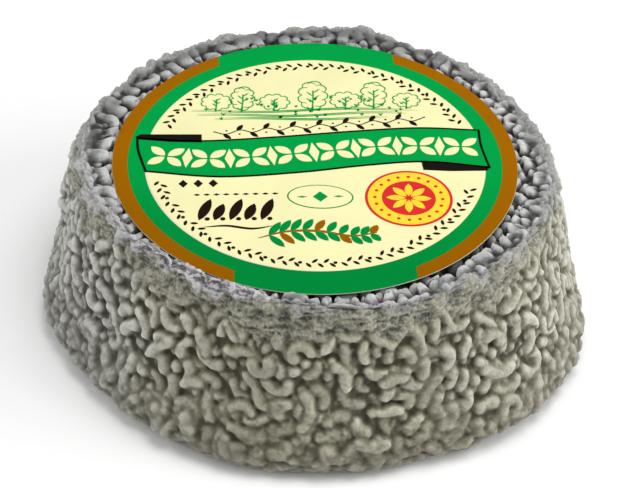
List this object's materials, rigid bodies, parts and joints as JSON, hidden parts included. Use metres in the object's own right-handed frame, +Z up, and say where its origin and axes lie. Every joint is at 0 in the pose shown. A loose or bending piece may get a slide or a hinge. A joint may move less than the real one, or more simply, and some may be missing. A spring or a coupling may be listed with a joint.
{
  "type": "soft goat cheese",
  "caption": "Small round ash-coated goat's milk cheese with a lumpy grey rind, a raised uneven rim and a round printed paper label lying in the shallow top",
  "frame": {"origin": "On the surface the cheese stands on, under the middle of its outline", "axes": "+Z up through the label, -Y towards the side from which the label reads upright, +X to that reader's right"},
  "size_m": [0.0914, 0.0924, 0.0291],
  "materials": {
    "rind": "dull, dry ash-grey rind",
    "paper": "satin printed paper, cream with green and brown fields"
  },
  "bodies": {
    "root": {"cheese": "rind", "label": "paper"}
  },
  "joints": []
}
